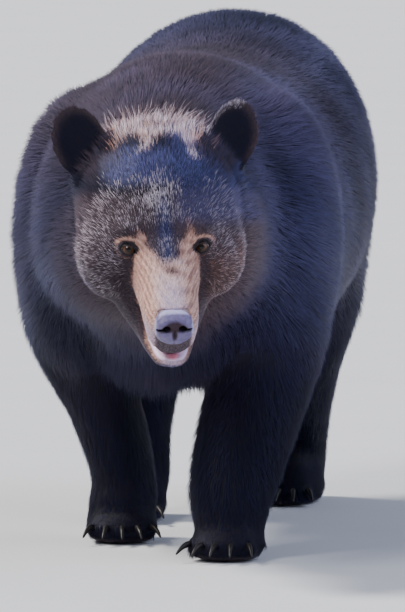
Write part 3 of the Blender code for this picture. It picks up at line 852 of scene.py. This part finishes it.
    # painted sky sheen on the bridge, and on the painted shade of the upper lip's sides
    along_bridge = faded(0.004, 0.026, f.wide) * faded(-0.125, -0.050, y) + 0.10 * streaks
    sky_sheen += (np.clip(along_bridge + 0.75 * lip_side_shade, 0, 1) - sky_sheen) * muzzle * r.head
    sky_sheen *= 1 - 0.85 * ear_foot
    brown_and_sunlit = np.clip(brown_and_sunlit, 0, 1)
    return {"tan": tan, "grizzle_and_glints": grizzle_and_glints, "brown_and_sunlit": brown_and_sunlit, "sky_sheen": sky_sheen, **bare_skin(r, f)}


# ---------------- coat

NOSE_TIP = (0, -0.170, -0.040)  # from here the hairs of the head spread
CLUMP, FINE_CLUMP = 0.016, 0.007
ROOT_DEPTH = 0.0012
FLOOR_GAP, TIP_GAP = 0.0008, 0.0015
PATCH = 0.003  # how much of the unwrap each tuft takes
SOFTNESS = 0.7  # how far each hair is lit like the coat around it
TUFT_FACES = np.array([(0, 1, 2), (1, 0, 3), (2, 1, 3), (0, 2, 3)])
TUFT_PATCH = np.array([[0.0, 0], [1, 0], [0.5, 0], [0.5, 1]])


def along_skin(vectors, normals):
    """The part of each direction that lies in the skin."""
    return vectors - normals * (vectors * normals).sum(1)[:, None]


def lie_of_coat(r, normals):
    """The hairs' way: from the nose over the head, back along the body, down the legs."""
    count = len(r.points)

    def way(x, y, z):
        return np.tile((x, y, z), (count, 1)).astype(float)

    lie = mixed(way(0, 1, -0.42), way(0, 0.25, -1), r.legs)
    lie = mixed(lie, way(0, -0.75, -0.65), r.toes)
    lie = mixed(lie, way(0, 0.1, -1), r.tail)
    from_nose = r.head_points - NOSE_TIP
    from_nose[:, 2] -= 0.06 * eased(0.06, 0.11, np.abs(r.head_points[:, 0]))
    lie = mixed(lie, outward(unit(from_nose), HEAD), r.head)
    for side in (LEFT, RIGHT):
        fan = np.stack([7 * r.ear_points[:, 0] * side, np.zeros(count), np.ones(count)], 1)
        lie = mixed(lie, outward(unit(fan), EARS[side]), r.ears * (r.ear_side == side))
    lie = unit(lie)
    sway = np.stack([waves(r.points, 0.045, seed) for seed in (11, 12, 13)], 1)
    lie += sway * (0.14 - 0.02 * r.head - 0.06 * r.muzzle)[:, None]
    return unit(along_skin(lie, normals))


def coat_width(length):
    """A tuft's width at its root, by its length."""
    return np.interp(length, [0.003, 0.009, 0.020, 0.045], [0.0005, 0.0007, 0.0010, 0.0015])


def coat_density(r, marks):
    """How closely the tufts stand, against those of the body."""
    density = leaning(
        1 + 1.2 * r.legs + 1.5 * r.paws,
        (4.0, r.head),
        (9.0, np.maximum(r.muzzle, r.lids)),
        (7.0, r.ears),
    )
    bare = most(*(marks[key] for key in ("gum", "dark_skin", "mouth", "lids")))
    x, y, z = r.head_points.T
    nose = (y < -0.130) & (np.abs(x) < 0.025) & (z > -0.080) & (z < -0.031)
    return density * faded(0.35, 0.75, bare) * ~nose


class SkinField:
    """The skin's triangles, with what is needed to set a tuft on them."""

    def __init__(self, skin):
        mesh = skin.data
        self.corners = read(mesh.loops, "vertex_index", 1, np.int32).reshape(-1, 3)
        self.points, self.normals = points_of(mesh), normals_of(mesh)
        self.places = read(mesh.uv_layers["Unwrap"].data, "uv", 2).reshape(-1, 3, 2)
        a, b, c = (self.points[self.corners[:, k]] for k in range(3))
        self.area = 0.5 * np.linalg.norm(np.cross(b - a, c - a), axis=1)
        self.regions = Regions((a + b + c) / 3)
        self.density = coat_density(self.regions, markings(self.regions))

    def sow(self, count, share, rng):
        """Roots spread over a share of the skin: points, normals and places on the unwrap."""
        weight = np.cumsum(self.area * self.density * share)
        face = np.searchsorted(weight, rng.random(count) * weight[-1])
        a, b = rng.random(count), rng.random(count)
        flip = a + b > 1
        a, b = np.where(flip, 1 - a, a), np.where(flip, 1 - b, b)
        mix = np.stack([1 - a - b, a, b], 1)[:, :, None]
        corners = self.corners[face]
        return (
            (self.points[corners] * mix).sum(1),
            unit((self.normals[corners] * mix).sum(1)),
            (self.places[face] * mix).sum(1),
        )


def clump_pull(points, normals, size, seed):
    """Towards the middle of the clump that each root belongs to."""
    bend = np.stack([waves(points, 3 * size, seed + k) for k in range(3)], 1)
    warped = (points + 0.4 * size * bend) / size
    cell = np.floor(warped)
    key = (cell @ np.array([127.1, 311.7, 74.7])) % 1000
    jitter = np.stack([np.sin(key * k) % 1 for k in (12.9, 78.2, 37.7)], 1) - 0.5
    return along_skin((cell + 0.5 + 0.7 * jitter - warped) * size, normals)


def tufts(points, normals, places, rng):
    """The points, faces and bake places of slim three-sided spikes that lie along the body."""
    count = len(points)
    r = Regions(points)
    lie = lie_of_coat(r, normals)
    lie = unit(lie + np.cross(normals, lie) * rng.normal(0, 0.07, count)[:, None])
    side = np.cross(normals, lie)
    length = coat_length(r) * rng.uniform(0.75, 1.15, count)
    falling = np.maximum(-lie[:, 2], 0.05)
    length = np.minimum(length, np.maximum(points[:, 2] - TIP_GAP, 0.001) / falling)
    rise = coat_depth(r) / coat_length(r) * rng.uniform(0.5, 1.05, count)
    lift = np.arcsin(np.clip(rise, 0.03, 0.6))
    lift += 0.60 * r.chest * eased(0.2, 0.8, -normals[:, 2])  # the long hair underneath hangs
    pull = clump_pull(points, normals, CLUMP, 31) * eased(0.010, 0.030, length)[:, None] * 0.30
    fine = clump_pull(points, normals, FINE_CLUMP, 41) * eased(0.006, 0.012, length)[:, None]
    pull += fine * 0.30
    root = points - normals * (ROOT_DEPTH * eased(0.004, 0.02, length))[:, None]
    along, up = (length * np.cos(lift))[:, None], (length * np.sin(lift))[:, None]
    tip = root + lie * along + normals * up + pull
    half = (0.5 * coat_width(length) * rng.uniform(0.75, 1.25, count))[:, None]
    wide, flat = side * half, normals * (0.22 * half)
    cloud = np.stack([root + wide - flat, root - wide - flat, root + flat, tip], 1)
    cloud[:, :, 2] = np.maximum(cloud[:, :, 2], FLOOR_GAP)
    faces = (TUFT_FACES[None] + 4 * np.arange(count)[:, None, None]).reshape(-1, 3)
    spots = places[:, None] + PATCH * (TUFT_PATCH - 0.5)[None]
    return cloud.reshape(-1, 3), faces, spots.reshape(-1, 2)


def coat_piece(field, name, share, count, seed):
    """One region's coat as one mesh, with its colours as attributes and its bake map."""
    rng = np.random.default_rng(seed)
    roots, normals, places = field.sow(count, share, rng)
    points, faces, spots = tufts(roots, normals, places, rng)
    mesh = bpy.data.meshes.new(name)
    mesh.vertices.add(len(points))
    write(mesh.vertices, "co", points)
    mesh.loops.add(faces.size)
    write(mesh.loops, "vertex_index", faces, np.int32)
    mesh.polygons.add(len(faces))
    write(mesh.polygons, "loop_start", np.arange(0, faces.size, 3), np.int32)
    write(mesh.polygons, "use_smooth", np.ones(len(faces)), bool)
    mesh.update(calc_edges=True)
    write(mesh.uv_layers.new(name="OFBake").data, "uv", spots[faces.ravel()])
    marks = markings(Regions(roots))
    for key in ("tan", "grizzle_and_glints", "brown_and_sunlit", "sky_sheen"):
        set_attribute(mesh, key, np.repeat(marks[key], 4))
    set_attribute(mesh, "strand", np.repeat(rng.random(count), 4))
    set_attribute(mesh, "along", np.tile([0.0, 0.0, 0.0, 1.0], count))
    around = np.repeat(normals, 4, axis=0)
    lit = unit(mixed(normals_of(mesh), around, np.full(len(points), SOFTNESS)))
    mesh.normals_split_custom_set_from_vertices(lit)
    return linked(name, mesh)


def coat():
    """The coat in eight pieces, each sown over its own share of the skin."""
    field = SkinField(skin)
    r = field.regions
    y = r.points[:, 1]
    behind_face = eased(0.030, 0.040, r.head_points[:, 1])
    on_legs = eased(0.35, 0.65, r.legs)
    on_trunk = (1 - np.maximum(r.head, r.ears)) * (1 - on_legs)

    def slab(low, high):
        return on_trunk * eased(low - 0.01, low + 0.01, y) * faded(high - 0.01, high + 0.01, y)

    shares = {
        "coat_face": (r.head * (1 - r.ears) * (1 - behind_face), 48500),
        "coat_crown_cheeks_ears": (np.maximum(r.head * behind_face, r.ears), 48500),
        "coat_neck": (slab(-0.70, -0.22), 47000),
        "coat_shoulders": (slab(-0.22, 0.08), 46000),
        "coat_barrel": (slab(0.08, 0.42), 46000),
        "coat_rump": (slab(0.42, 0.90), 46000),
        "coat_forelegs": (on_legs * (y < 0.12), 46000),
        "coat_hindlegs": (on_legs * (y >= 0.12), 46000),
    }
    return [
        coat_piece(field, name, share, count, seed)
        for seed, (name, (share, count)) in enumerate(shares.items(), 1)
    ]


# ---------------- materials


class Board:
    """Places and wires the nodes of one material or group."""

    def __init__(self, tree):
        self.tree = tree
        tree.nodes.clear()

    def node(self, kind, inputs=(), **settings):
        made = self.tree.nodes.new(f"ShaderNode{kind}")
        for name, value in settings.items():
            setattr(made, name, value)
        for key, value in dict(inputs).items():
            self.feed(made.inputs[key], value)
        return made

    def feed(self, socket, value):
        if isinstance(value, bpy.types.NodeSocket):
            self.tree.links.new(value, socket)
        elif isinstance(value, tuple) and len(value) == 3 and socket.type == "RGBA":
            socket.default_value = (*value, 1.0)
        else:
            socket.default_value = value

    def attribute(self, name):
        return self.node("Attribute", attribute_name=name).outputs["Fac"]

    def attributes(self, *names):
        """Attributes by the names of the coat colours' inputs."""
        return {name.title(): self.attribute(name) for name in names}

    def math(self, operation, *values):
        return self.node("Math", dict(enumerate(values)), operation=operation).outputs[0]

    def mix(self, share, a, b):
        return self.node("Mix", {0: share, 6: a, 7: b}, data_type="RGBA").outputs[2]

    def ramp(self, value, low, high, start=0.0, end=1.0):
        """A soft step of a value, from one number to another."""
        inputs = {0: value, 1: low, 2: high, 3: start, 4: end}
        return self.node("MapRange", inputs, interpolation_type="SMOOTHSTEP").outputs[0]

    def noise(self, fineness, detail=2.0, **place):
        inputs = {"Scale": fineness, "Detail": detail, "Vector": self.on_object(**place)}
        return self.node("TexNoise", inputs).outputs["Fac"]

    def cells(self, fineness):
        """How far each place lies from the middle of its cell."""
        inputs = {"Vector": self.on_object(), "Scale": fineness}
        return self.node("TexVoronoi", inputs).outputs["Distance"]

    def on_object(self, rotation=(0, 0, 0), scale=(1, 1, 1)):
        place = self.node("TexCoord").outputs["Object"]
        inputs = {"Vector": place, "Rotation": rotation, "Scale": scale}
        return self.node("Mapping", inputs, vector_type="POINT").outputs[0]

    def bump(self, height, strength, distance):
        inputs = {"Strength": strength, "Distance": distance, "Height": height}
        return self.node("Bump", inputs).outputs[0]

    def shared(self, tree, **inputs):
        """A shared effect in this material."""
        return self.node("Group", inputs, node_tree=tree).outputs

    def surface(self, **inputs):
        names = {key.replace("_", " "): value for key, value in inputs.items()}
        shader = self.node("BsdfPrincipled", names)
        self.node("OutputMaterial", {0: shader.outputs[0]})


def group(name, inputs, outputs, fill):
    """A shared effect. Its sockets are given as {name: default}, where a tuple is a colour."""
    tree = bpy.data.node_groups.new(name, "ShaderNodeTree")
    for direction, sockets in (("INPUT", inputs), ("OUTPUT", outputs)):
        for key, value in sockets.items():
            kind = "NodeSocketColor" if isinstance(value, tuple) else "NodeSocketFloat"
            socket = tree.interface.new_socket(name=key, in_out=direction, socket_type=kind)
            socket.default_value = (*value, 1.0) if isinstance(value, tuple) else value
    board = Board(tree)
    entry = tree.nodes.new("NodeGroupInput").outputs
    leave = tree.nodes.new("NodeGroupOutput").inputs
    for key, value in fill(board, entry).items():
        board.feed(leave[key], value)
    return tree


# the hairs' colours at the root and at the tip, or from hair to hair
BLACK = (0.0030, 0.0027, 0.0045), (0.0066, 0.0062, 0.0155)
BROWN = (0.0130, 0.0090, 0.0095), (0.1650, 0.1060, 0.1120)
# the painted sky sheen on the black
SKY_SHEEN_SLATE = (0.0074, 0.0078, 0.0165), (0.0820, 0.0920, 0.2550)
TAN_ROOT, TAN_TIPS = (0.4800, 0.2600, 0.1900), ((0.5600, 0.2800, 0.1900), (1.0000, 0.7200, 0.6500))
# pale tips: real silver hairs and painted sun glints
SILVER_AND_GLINT = (0.5200, 0.4400, 0.5000), (0.9200, 0.8400, 0.9600)
# deep tan, and tan under painted sky sheen and shade
DEEP_TAN, SKY_SHEEN_TAN = (0.2300, 0.1000, 0.0560), (0.5200, 0.4600, 0.7000)


def coat_colours(board, entry):
    along, strand = entry["Along"], entry["Strand"]
    tip = board.ramp(along, 0.0, 0.75)
    black, brown, sky_slate = (board.mix(tip, *pair) for pair in (BLACK, BROWN, SKY_SHEEN_SLATE))
    tan = board.mix(tip, TAN_ROOT, board.mix(strand, *TAN_TIPS))
    silver_and_glint = board.mix(strand, *SILVER_AND_GLINT)
    uneven = board.ramp(strand, 0.05, 0.95, 0.30, 1.0)
    # brown, partly the coat's own and partly a painted sunlit highlight
    colour = board.mix(board.math("MULTIPLY", entry["Brown_And_Sunlit"], uneven), black, brown)
    # painted sky sheen over the black and brown
    colour = board.mix(board.math("MULTIPLY", entry["Sky_Sheen"], uneven), colour, sky_slate)
    tan = board.mix(board.math("MULTIPLY", entry["Brown_And_Sunlit"], 0.75), tan, DEEP_TAN)
    # painted sky sheen and shade on the tan
    tan = board.mix(board.math("MULTIPLY", entry["Sky_Sheen"], 0.60), tan, SKY_SHEEN_TAN)
    # at the edge of the tan, whole hairs are tan or dark
    edge = board.math("SUBTRACT", entry["Tan"], board.math("MULTIPLY", strand, 0.55))
    colour = board.mix(board.ramp(edge, 0.0, 0.36), colour, tan)
    # pale tips, partly real grizzle and partly painted sun glints and backlight
    pale = board.math("SUBTRACT", board.math("MULTIPLY", entry["Grizzle_And_Glints"], 1.15), strand)
    lightened = board.ramp(along, 0.15, 0.8, 0.25, 1.0)
    tipped = board.math("MULTIPLY", board.ramp(pale, 0.0, 0.16), lightened)
    return {"Color": board.mix(tipped, colour, silver_and_glint)}


COAT_COLOURS = group(
    "coat colours",
    {"Tan": 0.0, "Grizzle_And_Glints": 0.0, "Brown_And_Sunlit": 0.0, "Sky_Sheen": 0.0, "Along": 0.5, "Strand": 0.5},
    {"Color": (0.01, 0.01, 0.01)},
    coat_colours,
)


def fine_relief(board, entry):
    """Pores and short hairs: a fleck pattern that is stretched along the head."""
    unturned = HEAD.to_3x3().inverted().to_euler()
    hairs = board.noise(900.0, 2.0, rotation=tuple(unturned), scale=(1, 0.16, 1))
    return {"Height": board.mix(entry["Bare"], hairs, board.cells(620.0))}


FINE_RELIEF = group("fine relief", {"Bare": 0.0}, {"Height": 0.0}, fine_relief)


def new_material(name):
    made = bpy.data.materials.new(name)
    made.use_nodes = True
    return made, Board(made.node_tree)


def coat_material():
    made, board = new_material("bear coat")
    # the coat's marks, with painted sky sheen, sunlit highlight, backlight and sun glints among
    # them
    marks = board.attributes("tan", "grizzle_and_glints", "brown_and_sunlit", "sky_sheen", "along", "strand")
    board.surface(
        Base_Color=board.shared(COAT_COLOURS, **marks)["Color"],
        Roughness=board.ramp(marks["Strand"], 0.0, 1.0, 0.42, 0.60),
        Specular_IOR_Level=0.24,
        Specular_Tint=(0.44, 0.48, 1.0),
        Sheen_Weight=0.06,
        Sheen_Roughness=0.35,
        Sheen_Tint=(0.42, 0.48, 1.0),
    )
    return made


def skin_material():
    made, board = new_material("bear skin")
    gum, dark, mouth, lids = (board.attribute(k) for k in ("gum", "dark_skin", "mouth", "lids"))
    fleck = board.ramp(board.noise(420.0, 3.0), 0.35, 0.65)
    # the coat's marks on the skin too, with painted sky sheen, sunlit highlight, backlight and sun
    # glints among them
    marks = board.attributes("tan", "grizzle_and_glints", "brown_and_sunlit", "sky_sheen")
    # the pale hairs are dark at the root
    marks["Grizzle_And_Glints"] = board.math("MULTIPLY", marks["Grizzle_And_Glints"], 0.5)
    strand = board.ramp(fleck, 0.0, 1.0, 0.40, 0.60)
    colour = board.shared(COAT_COLOURS, **marks, Along=0.45, Strand=strand)["Color"]
    hide = board.mix(0.35, colour, (0.007, 0.006, 0.008))
    speckle = board.ramp(board.noise(1300.0), 0.52, 0.68)
    leather = board.mix(speckle, (0.036, 0.026, 0.034), (0.240, 0.185, 0.225))
    colour = board.mix(dark, hide, leather)
    lip = board.mix(board.noise(300.0, 3.0), (0.54, 0.37, 0.57), (0.74, 0.58, 0.80))
    colour = board.mix(gum, colour, lip)
    flesh = board.mix(board.noise(160.0), (0.74, 0.20, 0.28), (0.86, 0.36, 0.45))
    colour = board.mix(mouth, colour, flesh)
    lid = board.mix(fleck, (0.006, 0.005, 0.007), (0.030, 0.024, 0.030))
    wet = board.math("MAXIMUM", gum, mouth)
    bare = board.math("MAXIMUM", wet, board.math("MAXIMUM", dark, lids))
    relief = board.shared(FINE_RELIEF, Bare=bare)["Height"]
    board.surface(
        Base_Color=board.mix(lids, colour, lid),
        Roughness=board.ramp(wet, 0.0, 1.0, 0.66, 0.34),
        Specular_IOR_Level=board.ramp(wet, 0.0, 1.0, 0.12, 0.50),
        Normal=board.bump(relief, 0.5, 0.0006),
    )
    return made


def nose_material():
    made, board = new_material("nose leather")
    rim, flush, nostril_shade = (board.attribute(key) for key in ("rim", "flush", "nostril_shade"))
    patch = board.noise(220.0, 3.0)
    dark = board.mix(patch, (0.062, 0.052, 0.120), (0.175, 0.140, 0.300))
    pale = board.mix(patch, (0.24, 0.23, 0.38), (0.49, 0.47, 0.76))
    black = board.mix(patch, (0.013, 0.007, 0.007), (0.042, 0.023, 0.023))
    colour = board.mix(flush, board.mix(rim, dark, pale), black)
    grain = board.ramp(board.cells(700.0), 0.05, 0.55, 1.0, 0.0)
    board.surface(
        # painted shade in the nostrils and side slits
        Base_Color=board.mix(nostril_shade, colour, (0.008, 0.004, 0.004)),
        Roughness=board.ramp(flush, 0.0, 1.0, 0.36, 0.60),
        Specular_IOR_Level=board.ramp(flush, 0.0, 1.0, 0.42, 0.10),
        Normal=board.bump(grain, 0.55, 0.0005),
    )
    return made


def eye_material():
    made, board = new_material("bear eye")
    place = board.node("UVMap", uv_map="Iris").outputs[0]
    off = board.node("VectorMath", {0: place}, operation="LENGTH").outputs["Value"]
    spokes = {"Vector": place, "Scale": 9.0, "Detail": 4.0, "Distortion": 1.2}
    spokes = board.node("TexNoise", spokes).outputs["Fac"]
    iris_edge, pupil_edge = IRIS_RADIUS / EYE_RADIUS, PUPIL_RADIUS / EYE_RADIUS
    brown = board.mix(spokes, (0.036, 0.015, 0.009), (0.130, 0.066, 0.037))
    glow = board.ramp(off, pupil_edge, iris_edge * 0.75)
    brown = board.mix(glow, (0.026, 0.010, 0.006), brown)
    ring = board.ramp(off, iris_edge * 0.78, iris_edge)
    colour = board.mix(ring, brown, (0.010, 0.006, 0.005))
    pupil = board.ramp(off, pupil_edge * 1.12, pupil_edge * 0.88)
    colour = board.mix(pupil, colour, (0.002, 0.002, 0.002))
    white = board.mix(spokes, (0.22, 0.14, 0.12), (0.42, 0.34, 0.32))
    board.surface(
        Base_Color=board.mix(board.ramp(off, iris_edge * 0.99, iris_edge * 1.07), colour, white),
        Roughness=0.10,
        Specular_IOR_Level=0.22,
        Coat_Weight=0.25,
        Coat_Roughness=0.02,
        Coat_IOR=1.38,
    )
    return made


def flecked_material(name, fineness, detail, colours, relief=None, stretch=(1, 1, 1), **values):
    """Two colours in noise, which may be the relief as well."""
    made, board = new_material(name)
    flecks = board.noise(fineness, detail, scale=stretch)
    if relief:
        values["Normal"] = board.bump(flecks, *relief)
    board.surface(Base_Color=board.mix(flecks, *colours), **values)
    return made


def tongue_material():
    made, board = new_material("tongue flesh")
    soft = board.noise(120.0)
    board.surface(
        Base_Color=board.mix(soft, (0.74, 0.22, 0.28), (0.86, 0.38, 0.45)),
        Roughness=board.ramp(soft, 0.3, 0.7, 0.28, 0.42),
        Normal=board.bump(board.cells(900.0), 0.4, 0.0004),
    )
    return made


# ---------------- the bear


def dress(piece, material):
    piece.data.materials.clear()
    piece.data.materials.append(material)
    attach(piece, "root")
    return piece


skin = whole_skin()
skin.data.uv_layers.new(name="Unwrap")
flattening = {"angle_limit": math.radians(60), "island_margin": 0.001}
edited(skin, lambda: bpy.ops.uv.smart_project(**flattening))
coat_pieces = coat()
skin.data.uv_layers.remove(skin.data.uv_layers["Unwrap"])
for key, values in markings(Regions(points_of(skin.data))).items():
    set_attribute(skin.data, key, values)
dress(skin, skin_material())
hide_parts(*FLESH)

fur = coat_material()
for piece in coat_pieces:
    dress(piece, fur)

eye_finish = eye_material()
lid_colours = (0.010, 0.007, 0.007), (0.050, 0.036, 0.035)
lid_values = {"relief": (0.3, 0.0003), "Roughness": 0.40, "Specular_IOR_Level": 0.25}
lid_finish = flecked_material("lid edge", 900.0, 2.0, lid_colours, **lid_values)
for side in (LEFT, RIGHT):
    dress(eyeball(side), eye_finish)
    dress(lid_rim(side), lid_finish)
dress(nose_pad(), nose_material())
dress(tongue_piece(), tongue_material())
horn_colours = (0.004, 0.0035, 0.0035), (0.016, 0.013, 0.012)
horn_values = {"relief": (0.35, 0.0004), "Roughness": 0.45, "Specular_IOR_Level": 0.28}
horn = flecked_material("claw horn", 260.0, 3.0, horn_colours, stretch=(1, 0.2, 0.6), **horn_values)
dress(claws(), horn)


# ---------------- floor, light and camera

FLOOR_RADIUS, FLOOR_HEIGHT = 70, -0.001  # just under the soles
disc = {"vertices": 96, "radius": FLOOR_RADIUS, "fill_type": "NGON"}
floor = primitive("floor", bpy.ops.mesh.primitive_circle_add, location=(0, 0, FLOOR_HEIGHT), **disc)
bpy.ops.object.transform_apply(location=True)
floor_colours = (0.60, 0.61, 0.62), (0.66, 0.67, 0.68)
pale = flecked_material("pale floor", 3.0, 3.0, floor_colours, Roughness=0.9)
floor.data.materials.append(pale)


def lamp(name, heading, strength, colour, width):
    """A distant light that shines from a heading (degrees round, degrees above)."""
    light = bpy.data.lights.new(name, "SUN")
    light.energy, light.color, light.angle = strength, colour, math.radians(width)
    linked(name, light).matrix_world = turned("Z", heading[0]) @ turned("X", 90 - heading[1])


lamp("key_light", (-98, 52), 4.4, (1.0, 0.95, 0.89), 14)
lamp("front_light", (-30, 38), 1.5, (1.0, 0.97, 0.96), 16)
lamp("cool_light", (80, 32), 1.9, (0.71, 0.76, 1.0), 60)

world = bpy.data.worlds.new("studio")
bpy.context.scene.world = world
world.use_nodes = True
sky = Board(world.node_tree)
backdrop = sky.node("Background", {"Color": (0.74, 0.82, 1.0), "Strength": 0.42})
sky.node("OutputWorld", {0: backdrop.outputs[0]})

CAMERA_DISTANCE = 14.0
AIM_START = Vector((-0.00044, -0.15934, 0))
AIM_RIGHT, AIM_UP, AIM_BACK = 0.0375, 0.3663, 0.53
camera = linked("camera", bpy.data.cameras.new("camera"))
bpy.context.scene.camera = camera
camera.data.lens, camera.data.sensor_width = 560, 36
camera.data.clip_start, camera.data.clip_end = 0.1, 300
round_, above = math.radians(VIEW_ROUND), math.radians(VIEW_ABOVE)
right = Vector((math.cos(round_), math.sin(round_), 0))
away = Vector((math.sin(round_), -math.cos(round_), 0)) * math.cos(above)
back = away + Vector((0, 0, math.sin(above)))
up = back.cross(right)
aim = AIM_START + right * AIM_RIGHT + up * AIM_UP + back * AIM_BACK
axes = Matrix((right, up, back)).transposed().to_4x4()
camera.matrix_world = Matrix.Translation(aim + back * CAMERA_DISTANCE) @ axes
